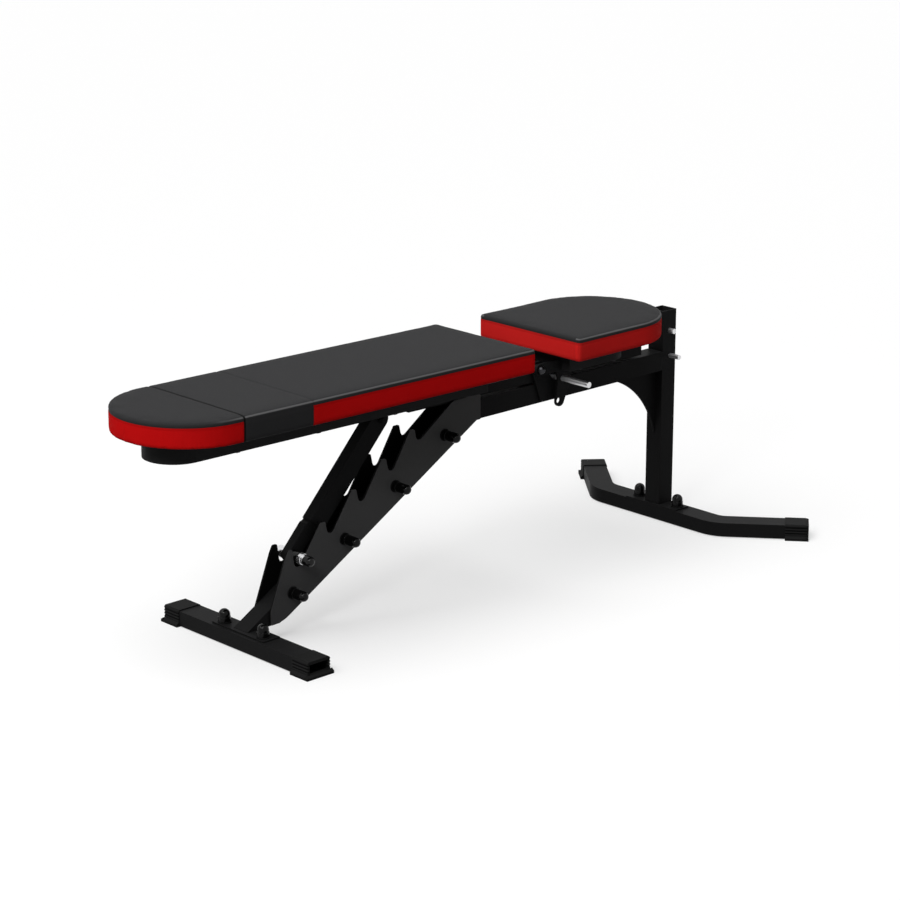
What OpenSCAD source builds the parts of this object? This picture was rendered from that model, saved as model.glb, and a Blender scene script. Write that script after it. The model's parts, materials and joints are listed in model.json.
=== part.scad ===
// Adjustable weight bench: a steel frame on two feet, a backrest pad with a
// swinging prop that drops into a five-notch ladder, and a short seat pad
// that tips up about the same hinge bolt.
//
// Places inside the modules are measured from the middle of the front foot:
// X runs along the bench from the front foot towards the rear post, Y across
// it, Z up from the floor. bench() then moves everything so that the origin
// is under the middle of the whole object.

/* [Overall] */
// Height of the seat pad's top above the floor
seat_h = 482.5; // [450:0.5:580]
// Distance between the middles of the two feet
foot_span = 1135; // [1050:1:1200]
// Width of both pads
pad_w = 280; // [230:1:340]
// Thickness of both pads
pad_t = 45.5; // [36:0.5:54]

/* [Backrest] */
// Length of the backrest pad from its square end to its round end
backrest_l = 877.5; // [780:0.5:1000]
// Lean of the backrest at its lowest setting, round end up, in degrees
backrest_lean = 0.6; // [0:0.1:1.5]
// Thickness of the base under the backrest pad
backrest_base_t = 44; // [38:1:44]
// Distance from the hinge to the prop's pivot along the backrest
prop_reach = 403; // [385:1:420]
// Depth of the prop's pivot below the hinge line
prop_drop = 31; // [30:0.5:34]

/* [Seat] */
// Length of the seat pad from its square end to its round end
seat_l = 324; // [280:1:360]
// Thickness of the base under the seat pad
seat_base_t = 44; // [38:1:44]
// Tilt of the seat at its raised setting, in degrees
seat_tilt = 20; // [12:1:24]
// Gap between the two pads
pad_gap = 119.5; // [100:0.5:140]

/* [Frame] */
// Width and height of the square frame tube
tube_w = 40; // [35:1:50]
// Wall of every tube
wall = 2; // [1.5:0.1:3]
// Distance from the hinge to the middle of the post
hinge_to_post = 401; // [375:1:425]
// Distance from the front foot to where the leg meets the beam
leg_top_x = 567.4; // [540:0.1:600]
// Distance from the front foot to the leg's centre line at the foot plate
leg_foot_x = 28.3; // [20:0.1:45]
// Height of the post's open top above the beam
post_rise = 86.5; // [60:0.5:110]
// Length of the gusset plate along the beam and down the post
gusset_l = 140; // [110:1:160]

/* [Ladder] */
// Thickness of the ladder plates
plate_t = 4; // [3:0.5:6]
// Distance between the two lowest notches along the leg
notch_pitch = 93.5; // [84:0.5:96]
// How much closer each next pair of notches is
notch_closing = 2.6; // [0:0.1:3.5]
// Distance from the leg's foot to the lowest notch along the leg
notch_start = 133.1; // [126:0.1:140]
// Height of the rollers' centres above the leg's centre line when they sit in a notch
notch_h = 60.5; // [56:0.1:66]
// Distance between the ladder bolts
ladder_bolt_pitch = 150.7; // [140:0.1:152]

/* [Prop] */
// Diameter of the prop's cross rod
rod_d = 16; // [14:0.5:18]
// Diameter of the rollers on the rod
roller_d = 24; // [22:0.5:26]
// Width of the prop tube across the bench
prop_w = 25; // [20:1:28]
// Depth of the prop tube
prop_depth = 39.4; // [32:0.1:40]

/* [Feet] */
// Width of the foot tubes
foot_w = 50; // [40:1:60]
// Height of the foot tubes
foot_h = 29.5; // [25:0.5:35]
// Overall length of the front foot, with its caps
front_foot_l = 430; // [380:1:520]
// Half length of the rear foot's straight middle
rear_mid_half = 142.5; // [120:0.5:170]
// Length of each swept leg of the rear foot
rear_leg_l = 165; // [120:0.1:200]
// Sweep of the rear foot's legs, in degrees
rear_sweep = 40; // [25:1:50]
// Radius of the rear foot's bends, at the middle of the tube
rear_bend_r = 60; // [45:1:90]

/* [Pins] */
// Diameter of the seat's locking pin
seat_pin_d = 12; // [10:0.5:14]
// Diameter of the post's upper pin
upper_pin_d = 11; // [8:0.5:12]
// Diameter of the post's lower pin
lower_pin_d = 10; // [8:0.5:12]

/* [Hidden] */

$fn = 48;
eps = 0.5;          // how far a cut runs past the face it opens
play = 0.3;         // gap between pieces that move or sit loosely
fit = 0.06;         // radial play of a bolt or pin that turns or slides in its hole
hole_play = 0.3;    // radial play of a clamped bolt in its hole

black_steel = [0.10, 0.10, 0.11];
bright_steel = [0.75, 0.75, 0.77];
black_plastic = [0.07, 0.07, 0.08];
black_vinyl = [0.22, 0.22, 0.22];
zinc = [0.45, 0.45, 0.47];

// ---- heights and stations ----
sole_t = 2;                                  // rubber of a foot cap under the tube
foot_top = sole_t + foot_h;
flange_t = 3;
flange_top = foot_top + flange_t;
beam_below_pad = 67.5;                       // from the pads' underside to the beam's top
pad_z = seat_h - pad_t;
beam_top = pad_z - beam_below_pad;
beam_z = beam_top - tube_w / 2;
post_x = foot_span;
post_top = beam_top + post_rise;
hinge_x = post_x - hinge_to_post;
hinge_z = beam_top + 34.5;
seat_x0 = hinge_x + 4;                       // square end of the seat pad
backrest_x1 = seat_x0 - pad_gap;             // square end of the backrest pad
head_x = backrest_x1 - backrest_l;           // round end of the backrest pad

// ---- the leg's own directions, in the X-Z plane ----
leg_foot = [leg_foot_x, flange_top];
leg_top = [leg_top_x, beam_z];
leg_dir = unit(leg_top - leg_foot);
leg_up = [-leg_dir.y, leg_dir.x];
leg_angle = atan2(leg_dir.y, leg_dir.x);
function on_leg(s, h) = leg_foot + s * leg_dir + h * leg_up;

// ---- the prop ----
function leaned(p) = let (a = backrest_lean, d = p - [hinge_x, hinge_z])
    [hinge_x + d.x * cos(a) + d.y * sin(a), hinge_z - d.x * sin(a) + d.y * cos(a)];
pivot_flat = [hinge_x - prop_reach, hinge_z - prop_drop];
pivot = leaned(pivot_flat);
rod_r = rod_d / 2;
rod_at = on_leg(notch_start, notch_h);
prop_dir = unit(rod_at - pivot);
prop_angle = atan2(prop_dir.y, prop_dir.x);
prop_len = norm(rod_at - pivot);
tongue_l = 92;                               // length of the tongue above the rod
tongue_side = 8.6;                           // how far the rod sits off the tube's centre line

// ---- fasteners ----
bolt_r = 4;
nut_r = 7.5;                                 // corner radius of the hexagon nuts
nut_t = 6.8;
washer_r = 12;
washer_t = 2.5;
cover_r = 10.6;
cover_step = 0.7;                            // how far a cover's skirt stands out from its dome
foot_cover_r = 12;
foot_washer_r = 13.5;
foot_cover_l = 24;
ladder_cover_l = 39;
rod_cover_l = 36;
thread_out = 6;                              // bolt showing past its nut
head_t = 5.3;
hinge_r = 5;
hinge_nut_r = 9.2;

// ---- overall ends, for the origin ----
cap_l = 44;
lip = 5;                                     // flare of a foot cap's bottom lip
cap_half_w = foot_w / 2 + 2;
rear_end = [post_x + rear_bend_r * (1 - cos(rear_sweep)) + rear_leg_l * sin(rear_sweep),
            rear_mid_half + rear_bend_r * sin(rear_sweep) + rear_leg_l * cos(rear_sweep)];
x_max = rear_end.x + lip * sin(rear_sweep) + (cap_half_w + lip) * cos(rear_sweep);
x_min = leaned([head_x, pad_z]).x;

function unit(v) = v / norm(v);

// Points of a closed outline whose corners are rounded to the given radii.
function corner_arc(before, p, after, r, steps) = r == 0 ? [p] :
    let (u = unit(before - p), w = unit(after - p), half = acos(u * w) / 2,
         c = p + unit(u + w) * r / sin(half),
         a = p + u * r / tan(half) - c, b = p + w * r / tan(half) - c,
         start = atan2(a.y, a.x), turn = (atan2(b.y, b.x) - start + 540) % 360 - 180)
    [for (i = [0:steps]) c + r * [cos(start + turn * i / steps), sin(start + turn * i / steps)]];
function rounded(corners, steps = 5) = let (n = len(corners))
    [for (i = [0:n - 1]) each corner_arc(
        [corners[(i + n - 1) % n][0], corners[(i + n - 1) % n][1]],
        [corners[i][0], corners[i][1]],
        [corners[(i + 1) % n][0], corners[(i + 1) % n][1]], corners[i][2], steps)];
function corner(p, r = 0) = [p.x, p.y, r];

// ---- placing ----
module bench() { translate([-(x_min + x_max) / 2, 0, 0]) children(); }
// A flat shape drawn in X-Z, made solid from y0 to y1.
module across(y0, y1) { translate([0, y1, 0]) rotate([90, 0, 0]) linear_extrude(y1 - y0) children(); }
// Something built along +Z, turned to point along -Y from (p.x, y, p.y), or along +Y.
module to_right(p, y) { translate([p.x, y, p.y]) rotate([90, 0, 0]) children(); }
module to_left(p, y) { translate([p.x, y, p.y]) rotate([-90, 0, 0]) children(); }
module lean_backrest() {
    translate([hinge_x, 0, hinge_z]) rotate([0, backrest_lean, 0])
        translate([-hinge_x, 0, -hinge_z]) children();
}

// ---- shared shapes ----
module ring(r_in, r_out, t) { difference() { cylinder(r = r_out, h = t); drill(r_in, t); } }
module drill(r, t) { translate([0, 0, -eps]) cylinder(r = r, h = t + 2 * eps); }
module hex_nut() { difference() { cylinder(r = nut_r, h = nut_t, $fn = 6); drill(bolt_r + fit, nut_t); } }
// A domed cover with a slightly wider skirt round the nut.
module nut_cover(cover_l, r) {
    dome_r = r - cover_step;
    difference() {
        union() {
            cylinder(r = r, h = nut_t + 1.5);
            cylinder(r = dome_r, h = cover_l - dome_r);
            translate([0, 0, cover_l - dome_r]) sphere(r = dome_r);
        }
        drill(nut_r + hole_play, nut_t - eps);
        drill(bolt_r + hole_play, nut_t + thread_out);
    }
}
module hex_bolt(length) {
    cylinder(r = bolt_r, h = length);
    translate([0, 0, -head_t]) cylinder(r = nut_r, h = head_t, $fn = 6);
}
module box_tube(w, h, length, inside = wall) {
    difference() {
        cube([length, w, h]);
        translate([-eps, inside, inside]) cube([length + 2 * eps, w - 2 * inside, h - 2 * inside]);
    }
}
// A flat outline of a pad or base: square at one end, half round at the other.
module pad_outline(x_square, x_round, width) {
    way = x_round > x_square ? 1 : -1;
    mid = x_round - way * width / 2;
    translate([mid, 0]) circle(d = width, $fn = 96);
    translate([min(x_square, mid), -width / 2]) square([abs(mid - x_square), width]);
}

// ---- feet ----
foot_hole_r = bolt_r + hole_play;
front_bolt = [-3, 56.5];
rear_bolt = [post_x, 54];
cap_gap = 0.1;
cap_end = 6;                                 // solid end of a cap past the tube
groove = 1.5;

// Built along +Y, with the tube's end at y = cap_l - cap_end and the floor at z = 0.
module foot_cap(fluted) {
    top = foot_top + 2;
    flute_r = (2 * cap_half_w) / 10;
    side = [[cap_half_w + lip, 0], [cap_half_w + lip, 5], [cap_half_w, 9],
            for (z = [13, 19, 25]) each [[cap_half_w, z], [cap_half_w - groove, z + 0.8],
                                         [cap_half_w - groove, z + 2.2], [cap_half_w, z + 3]],
            [cap_half_w, top - 3], [cap_half_w - 3, top]];
    other = [for (i = [len(side) - 1:-1:0]) [-side[i].x, side[i].y]];
    difference() {
        union() {
            across(0, cap_l) polygon(concat(side, other));
            translate([-cap_half_w - lip, 0, 0]) rotate([90, 0, 90])
                linear_extrude(2 * (cap_half_w + lip))
                    polygon([[cap_l - 1, 0], [cap_l + lip, 0], [cap_l + lip, 5], [cap_l - 1, 9]]);
            if (fluted)
                for (i = [-2:2]) translate([2 * i * flute_r, cap_l, 4])
                    cylinder(r = flute_r - 0.4, h = top - 5.5, $fn = 24);
        }
        translate([-foot_w / 2 - cap_gap, -eps, sole_t - cap_gap])
            cube([foot_w + 2 * cap_gap, cap_l - cap_end + eps, foot_h + 2 * cap_gap]);
        if (!fluted)
            translate([-foot_w / 2 + 3, cap_l - cap_end - eps, sole_t + 7.5])
                cube([foot_w - 6, cap_end + 2 * eps, foot_h - 11.5]);
    }
}
module foot_flange(x0, x1, length, bolt) {
    translate([0, 0, foot_top]) difference() {
        translate([x0, -length / 2, 0]) cube([x1 - x0, length, flange_t]);
        for (y = [-1, 1]) translate([bolt.x, y * bolt.y, 0]) drill(foot_hole_r, flange_t);
    }
}
module at_foot_bolts() {
    for (bolt = [front_bolt, rear_bolt], y = [-1, 1]) translate([bolt.x, y * bolt.y, 0]) children();
}

module front_foot_tube() {
    run = front_foot_l - 2 * (cap_end + lip);
    color(black_steel) bench() difference() {
        translate([foot_w / 2, -run / 2, sole_t]) rotate([0, 0, 90]) box_tube(foot_w, foot_h, run);
        for (y = [-1, 1]) translate([front_bolt.x, y * front_bolt.y, sole_t]) drill(foot_hole_r, foot_h);
    }
}
module front_cap(side) {
    color(black_plastic) bench() mirror([0, side < 0 ? 1 : 0, 0])
        translate([0, front_foot_l / 2 - lip - cap_l, 0]) foot_cap(false);
}
module front_cap_left() { front_cap(1); }
module front_cap_right() { front_cap(-1); }
module front_flange() { color(black_steel) bench() foot_flange(-18, 22, 150, front_bolt); }

// The rear foot's tube, or its inside when shrunk by the wall.
module rear_run(w, h, extra) {
    translate([post_x - w / 2, -rear_mid_half, -h / 2]) cube([w, 2 * rear_mid_half, h]);
    for (side = [0, 1]) mirror([0, side, 0]) {
        translate([post_x + rear_bend_r, rear_mid_half, -h / 2]) rotate([0, 0, 180 - rear_sweep])
            rotate_extrude(angle = rear_sweep, $fn = 96)
                translate([rear_bend_r - w / 2, 0]) square([w, h]);
        translate([rear_end.x, rear_end.y, -h / 2]) rotate([0, 0, -rear_sweep])
            translate([-w / 2, -rear_leg_l, 0]) cube([w, rear_leg_l - cap_end + extra, h]);
    }
}
module rear_foot_tube() {
    color(black_steel) bench() translate([0, 0, sole_t + foot_h / 2]) difference() {
        rear_run(foot_w, foot_h, 0);
        rear_run(foot_w - 2 * wall, foot_h - 2 * wall, eps);
        for (y = [-1, 1]) translate([rear_bolt.x, y * rear_bolt.y, -foot_h / 2])
            drill(foot_hole_r, foot_h);
    }
}
module rear_cap(side) {
    color(black_plastic) bench() mirror([0, side < 0 ? 1 : 0, 0])
        translate([rear_end.x, rear_end.y, 0]) rotate([0, 0, -rear_sweep])
            translate([0, -cap_l, 0]) foot_cap(true);
}
module rear_cap_left() { rear_cap(1); }
module rear_cap_right() { rear_cap(-1); }
module rear_flange() { color(black_steel) bench() foot_flange(post_x - 25, post_x + 18, 140, rear_bolt); }

module foot_bolts() {
    pan_t = sole_t - 0.5;
    color(zinc) bench() at_foot_bolts() {
        translate([0, 0, sole_t - pan_t]) cylinder(r = nut_r + 1.5, h = pan_t);
        translate([0, 0, sole_t]) cylinder(r = bolt_r, h = flange_top - sole_t + washer_t + nut_t + thread_out);
    }
}
module foot_washers() {
    color(black_steel) bench() at_foot_bolts() translate([0, 0, flange_top])
        ring(bolt_r + hole_play, foot_washer_r, washer_t);
}
module foot_nuts() {
    color(zinc) bench() at_foot_bolts() translate([0, 0, flange_top + washer_t]) hex_nut();
}
module foot_nut_covers() {
    color(black_plastic) bench() at_foot_bolts() translate([0, 0, flange_top + washer_t])
        nut_cover(foot_cover_l, foot_cover_r);
}

// ---- leg, beam, post ----
ladder_bolt_h = 13;                          // above the leg's centre line
ladder_bolt_start = 85.9;
module at_ladder_bolts(y, right) {
    for (i = [0:3]) {
        p = on_leg(ladder_bolt_start + i * ladder_bolt_pitch, ladder_bolt_h);
        if (right) to_right(p, y) children();
        else to_left(p, y) children();
    }
}
// Side view of the leg: square to the foot plate below, mitred to the beam above.
module leg_side(half) {
    reach = half / sin(leg_angle);
    bend = half * tan(leg_angle / 2);
    polygon([[leg_foot_x - reach, flange_top], [leg_foot_x + reach, flange_top],
             leg_top + [bend, -half], leg_top + [-bend, half]]);
}
module leg_tube() {
    half = tube_w / 2;
    color(black_steel) bench() difference() {
        across(-half, half) leg_side(half);
        across(-half + wall, half - wall) offset_leg_inside(half - wall);
        at_ladder_bolts(half + eps, true) cylinder(r = bolt_r + hole_play, h = tube_w + 2 * eps);
    }
}
// The leg's inside, run past both of its open ends.
module offset_leg_inside(half) {
    low = on_leg(-tube_w, 0);
    high = leg_top + tube_w * leg_dir;
    polygon([low - half * leg_up, high - half * leg_up, high + half * leg_up, low + half * leg_up]);
}
module main_beam() {
    half = tube_w / 2;
    bend = half * tan(leg_angle / 2);
    end = post_x - half;
    color(black_steel) bench() difference() {
        across(-half, half)
            polygon([leg_top + [bend, -half], [end, beam_z - half], [end, beam_z + half],
                     leg_top + [-bend, half]]);
        translate([leg_top_x - tube_w, -half + wall, beam_z - half + wall])
            cube([end - leg_top_x + tube_w + eps, tube_w - 2 * wall, tube_w - 2 * wall]);
        to_left(raised_pin_at, -half - eps) cylinder(r = seat_pin_d / 2 + fit, h = tube_w + 2 * eps);
    }
}
module gusset_plate() {
    x1 = post_x - tube_w / 2;
    z1 = beam_z - tube_w / 2;
    // a circle through both free ends, hollow towards the beam and post
    arc_r = gusset_l * 1.36;
    chord = gusset_l * sqrt(2);
    back = sqrt(arc_r * arc_r - chord * chord / 4);
    centre = [x1 - gusset_l / 2, z1 - gusset_l / 2] - back * unit([1, 1]);
    color(black_steel) bench() across(-2.5, 2.5) difference() {
        polygon([[x1 - gusset_l, z1], [x1, z1], [x1, z1 - gusset_l]]);
        translate(centre) circle(r = arc_r, $fn = 180);
    }
}
upper_pin_at = [post_x + 1, post_top - 44];
lower_pin_at = [post_x + 3, beam_z + 8.5];
module post_tube() {
    half = tube_w / 2;
    color(black_steel) bench() difference() {
        translate([post_x - half, -half, flange_top]) cube([tube_w, tube_w, post_top - flange_top]);
        translate([post_x - half + wall, -half + wall, flange_top - eps])
            cube([tube_w - 2 * wall, tube_w - 2 * wall, post_top - flange_top + 2 * eps]);
        to_left(upper_pin_at, -half - eps) cylinder(r = upper_pin_d / 2 + fit, h = tube_w + 2 * eps);
        to_left(lower_pin_at, -half - eps) cylinder(r = lower_pin_d / 2 + fit, h = tube_w + 2 * eps);
    }
}

// ---- ladder plates ----
notch_play_r = roller_d / 2 + play;
// The far end of a straight wall that touches the rod's circle and ends at tip.
function tangent_dir(tip, side) = let (a = atan2(-tip.y, -tip.x) + side * asin(notch_play_r / norm(tip)))
    [cos(a), sin(a)];
function meet(p, u, q, w) = let (d = q - p, t = (d.x * w.y - d.y * w.x) / (u.x * w.y - u.y * w.x)) p + t * u;
notches = 5;
function notch_at(i) = on_leg(notch_start + i * notch_pitch - i * (i - 1) / 2 * notch_closing, notch_h);
tooth_low = [-27, 8.5];                      // a tooth's two tips, seen from the notch above it
tooth_high = [-14.5, 8.5];
hook_tip = [-15, 19];                        // the lowest notch's taller front lip
plate_x0 = leg_foot_x + 14.7;
plate_x1 = leg_top_x + 15.6;
plate_rise = 11.5;
crest = [leg_top_x - 58, beam_top + plate_rise];
// Bottom of notch i: where its front wall meets its back wall. Both touch the roller.
function notch_root(i) =
    let (front = i == 0 ? hook_tip : tooth_high,
         back = (i < notches - 1 ? notch_at(i + 1) + tooth_low : crest) - notch_at(i))
    notch_at(i) + meet(front, tangent_dir(front, -1), back, tangent_dir(back, 1));
ladder_outline = rounded([
    [plate_x0, flange_top + 1.5, 3],
    corner(meet([0, flange_top + 1.5], [1, 0], on_leg(0, -tube_w / 2), leg_dir), 75),
    corner(leg_top + tube_w / 2 * [tan(leg_angle / 2), -1], 2),
    [plate_x1, beam_z - tube_w / 2, 1],
    [plate_x1, beam_top + plate_rise, 4],
    corner(crest, 25),
    for (i = [notches - 1:-1:0]) each concat(
        [corner(notch_root(i), 9)],
        i == 0 ? [corner(notch_at(0) + hook_tip, 3), corner(notch_at(0) + hook_tip + [-10, 0], 4),
                  corner(notch_at(0) + [-32, 6], 6)]
               : [corner(notch_at(i) + tooth_high, 2.5), corner(notch_at(i) + tooth_low, 2.5)]),
    [plate_x0, flange_top + 28, 8]
]);
module ladder_plate(side) {
    y = tube_w / 2;
    color(black_steel) bench() difference() {
        across(side > 0 ? y : -y - plate_t, side > 0 ? y + plate_t : -y) polygon(ladder_outline);
        at_ladder_bolts(y + plate_t + eps, true)
            cylinder(r = bolt_r + hole_play, h = tube_w + 2 * plate_t + 2 * eps);
    }
}
module ladder_plate_left() { ladder_plate(1); }
module ladder_plate_right() { ladder_plate(-1); }
ladder_face = tube_w / 2 + plate_t;
module ladder_bolts() {
    color(zinc) bench() at_ladder_bolts(ladder_face + washer_t, true)
        hex_bolt(2 * (ladder_face + washer_t) + nut_t + thread_out);
}
module ladder_washers() {
    color(black_steel) bench() {
        at_ladder_bolts(-ladder_face, true) ring(bolt_r + hole_play, washer_r, washer_t);
        at_ladder_bolts(ladder_face, false) ring(bolt_r + hole_play, washer_r, washer_t);
    }
}
module ladder_nuts() { color(zinc) bench() at_ladder_bolts(-ladder_face - washer_t, true) hex_nut(); }
module ladder_nut_covers() {
    color(black_plastic) bench() at_ladder_bolts(-ladder_face - washer_t, true)
        nut_cover(ladder_cover_l, cover_r);
}

// ---- hinge ----
hinge = [hinge_x, hinge_z];
arm_w = 36;                                  // width of the tubes under the pads
arm_h = 19;
arm_z = hinge_z - 30;                        // underside of those tubes
sleeve_r = arm_z + arm_h < hinge_z ? hinge_z - arm_z - arm_h : 10;
bracket_t = 5;
bracket_r = 13;
bracket_out = tube_w / 2 + bracket_t;
yoke_t = 5;
yoke_in = bracket_out + 9;                   // inner faces of the yoke's cheeks
yoke_out = yoke_in + yoke_t;
module hinge_bracket(side) {
    y = tube_w / 2;
    right = hinge + [58, -42];
    foot = [hinge_x + 16, beam_top - 37];
    color(black_steel) bench() difference() {
        across(side > 0 ? y : -y - bracket_t, side > 0 ? y + bracket_t : -y)
            polygon(rounded([corner(foot, 2), [right.x, foot.y, 2], corner(right, 8),
                             corner(hinge + [15, 14], bracket_r - 2),
                             corner(hinge + [-15, 12], bracket_r - 2)]));
        to_left(hinge, -2 * tube_w) cylinder(r = hinge_r + hole_play, h = 4 * tube_w);
    }
}
module hinge_bracket_left() { hinge_bracket(1); }
module hinge_bracket_right() { hinge_bracket(-1); }
module hinge_bolt() {
    side = yoke_out + play;
    color(zinc) bench() to_right(hinge, side) {
        cylinder(r = hinge_r, h = 2 * side + 8);
        translate([0, 0, -6.4]) cylinder(r = hinge_nut_r, h = 6.4, $fn = 6);
    }
}
module hinge_spacers() {
    color(black_steel) bench() {
        to_right(hinge, -bracket_out) ring(hinge_r + hole_play, hinge_nut_r, yoke_in - bracket_out - play);
        to_left(hinge, bracket_out) ring(hinge_r + hole_play, hinge_nut_r, yoke_in - bracket_out - play);
    }
}
// A domed nut, closed at its outer end.
module hinge_nut() {
    flat = 4;
    color(black_steel) bench() to_right(hinge, -yoke_out - play) difference() {
        union() {
            cylinder(r = hinge_nut_r, h = flat, $fn = 6);
            intersection() {
                translate([0, 0, flat - 2]) sphere(r = hinge_nut_r - 1);
                cylinder(r = hinge_nut_r - 1, h = flat + hinge_nut_r);
            }
        }
        drill(hinge_r + fit, 8 - eps + 0.2);
    }
}

// ---- backrest ----
base_w = 120;
base_inset = 50;
backrest_base_z = pad_z - backrest_base_t;
backrest_base_x1 = backrest_x1 - base_inset;
backrest_base_x0 = head_x + (pad_w - base_w) / 2 - 30;
screw_y = 42;
screw_grip = 22;                             // how far a screw goes into its pad
backrest_screw_x = [for (i = [0:3]) backrest_base_x1 - 40 - i * backrest_l / 4.6];
sleeve_half = tube_w / 2 - play;
backrest_arm_x0 = pivot_flat.x + 69;
backrest_arm_x1 = hinge_x + 11;

module at_screws(xs) { for (x = xs, y = [-1, 1]) translate([x, y * screw_y, 0]) children(); }
module backrest_pad() {
    color(black_vinyl) bench() lean_backrest() difference() {
        translate([0, 0, pad_z]) linear_extrude(pad_t) pad_outline(backrest_x1, head_x, pad_w);
        at_screws(backrest_screw_x) translate([0, 0, pad_z - eps])
            cylinder(r = bolt_r + fit, h = screw_grip + 2 * eps);
    }
}
module backrest_base() {
    color(black_plastic) bench() lean_backrest() difference() {
        translate([0, 0, backrest_base_z]) linear_extrude(backrest_base_t)
            pad_outline(backrest_base_x1, backrest_base_x0, base_w);
        // let in for the prop's bracket
        translate([pivot_flat.x - bracket_l / 2 - play, -bracket_w / 2 - play, backrest_base_z - eps])
            cube([bracket_l + 2 * play, bracket_w + 2 * play, bracket_plate_t + eps]);
        at_screws(backrest_screw_x) translate([0, 0, backrest_base_z])
            drill(bolt_r + hole_play, backrest_base_t);
    }
}
module backrest_screws() {
    color(zinc) bench() lean_backrest() at_screws(backrest_screw_x)
        translate([0, 0, backrest_base_z]) hex_bolt(backrest_base_t + screw_grip);
}
module backrest_tube() {
    color(black_steel) bench() lean_backrest()
        translate([backrest_arm_x0, -arm_w / 2, arm_z])
            box_tube(arm_w, arm_h, backrest_arm_x1 - backrest_arm_x0);
}
module arm_plug(x, way) {
    inner_w = arm_w - 2 * wall - 2 * cap_gap;
    inner_h = arm_h - 2 * wall - 2 * cap_gap;
    translate([x, 0, arm_z + arm_h / 2]) mirror([way < 0 ? 1 : 0, 0, 0]) {
        translate([0, -arm_w / 2, -arm_h / 2]) cube([2, arm_w, arm_h]);
        translate([-12, -inner_w / 2, -inner_h / 2]) cube([12, inner_w, inner_h]);
    }
}
module backrest_tube_plug() {
    color(black_plastic) bench() lean_backrest() arm_plug(backrest_arm_x0, -1);
}
// The hinge sleeve, on a low saddle on top of the tube.
module backrest_sleeve() {
    tube_top = arm_z + arm_h;
    color(black_steel) bench() lean_backrest() difference() {
        union() {
            to_left(hinge, -sleeve_half) cylinder(r = sleeve_r, h = 2 * sleeve_half);
            translate([hinge_x - sleeve_r, -arm_w / 2, tube_top]) cube([2 * sleeve_r, arm_w, 5]);
        }
        to_left(hinge, -tube_w) cylinder(r = hinge_r + fit, h = 2 * tube_w);
    }
}
bracket_l = 64;
bracket_w = 50;
bracket_plate_t = 4;
lug_half = prop_w / 2 - wall - 0.3;
lug_r = 12;
module prop_bracket() {
    color(black_steel) bench() lean_backrest() difference() {
        union() {
            across(-lug_half, lug_half) {
                translate(pivot_flat) circle(r = lug_r);
                translate(pivot_flat - [lug_r, 0])
                    square([2 * lug_r, backrest_base_z + 1 - pivot_flat.y]);
            }
            translate([pivot_flat.x - bracket_l / 2, -bracket_w / 2, backrest_base_z])
                cube([bracket_l, bracket_w, bracket_plate_t]);
        }
        to_left(pivot_flat, -tube_w) cylinder(r = bolt_r + fit, h = 2 * tube_w);
    }
}
module prop_pivot_bolt() {
    side = prop_w / 2 + play;
    color(zinc) bench() to_right(pivot, side) hex_bolt(2 * side + nut_t + 2);
}
module prop_pivot_nut() {
    color(zinc) bench() to_right(pivot, -prop_w / 2 - play) hex_nut();
}

// ---- prop ----
// Places on the prop are measured from its pivot along the tube, then across it.
tube_turn = asin(tongue_side / prop_len);
rod_in_prop = prop_len * [cos(tube_turn), -sin(tube_turn)];
prop_tube_l = prop_len - 73;
tongue_half = 10;
tongue_r = 14;
module prop_place() {
    translate([pivot.x, 0, pivot.y]) rotate([0, -prop_angle - tube_turn, 0]) children();
}
module prop_tube() {
    half = prop_depth / 2;
    open_to = 6;                             // the fork's walls are cut back to here
    color(black_steel) bench() prop_place() difference() {
        across(-prop_w / 2, prop_w / 2) {
            circle(r = half);
            translate([0, -half]) square([prop_tube_l, prop_depth]);
        }
        across(-prop_w / 2 + wall, prop_w / 2 - wall) {
            translate([open_to, -half + wall]) square([prop_tube_l, prop_depth - 2 * wall]);
            translate([-half - eps, -half - eps]) square([half + eps + open_to + eps, prop_depth + 2 * eps]);
        }
        to_left([0, 0], -prop_w) cylinder(r = bolt_r + fit, h = 2 * prop_w);
    }
}
module prop_tongue() {
    top = rod_in_prop.x - tongue_l;
    high = prop_depth / 2 - wall - play;
    low = rod_in_prop.y + tongue_r;
    tip = rod_in_prop.x + tongue_r;
    color(black_steel) bench() prop_place() difference() {
        across(-tongue_half, tongue_half)
            polygon(rounded([[top, -high, 0], [top, low, 0], [tip, low, tongue_r - 0.1],
                             [tip, low - 2 * tongue_r, tongue_r - 0.1],
                             [prop_tube_l + 10, low - 2 * tongue_r, 5],
                             [prop_tube_l + 2, -high, 4]], 12));
        to_left(rod_in_prop, -prop_w) cylinder(r = rod_r + 0.02, h = 2 * prop_w);
    }
}
rod_face = ladder_face + 0.6;                // the rod's washers clear the ladder plates
rod_washer_t = 5;
module prop_rod() {
    color(bright_steel) bench() {
        to_right(rod_at, rod_face + rod_washer_t) cylinder(r = rod_r, h = 2 * (rod_face + rod_washer_t));
        to_right(rod_at, rod_face + rod_washer_t + nut_t + thread_out)
            cylinder(r = bolt_r, h = 2 * (rod_face + rod_washer_t + nut_t + thread_out));
    }
}
module at_rod_ends() {
    to_right(rod_at, -rod_face) children();
    to_left(rod_at, rod_face) children();
}
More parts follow.
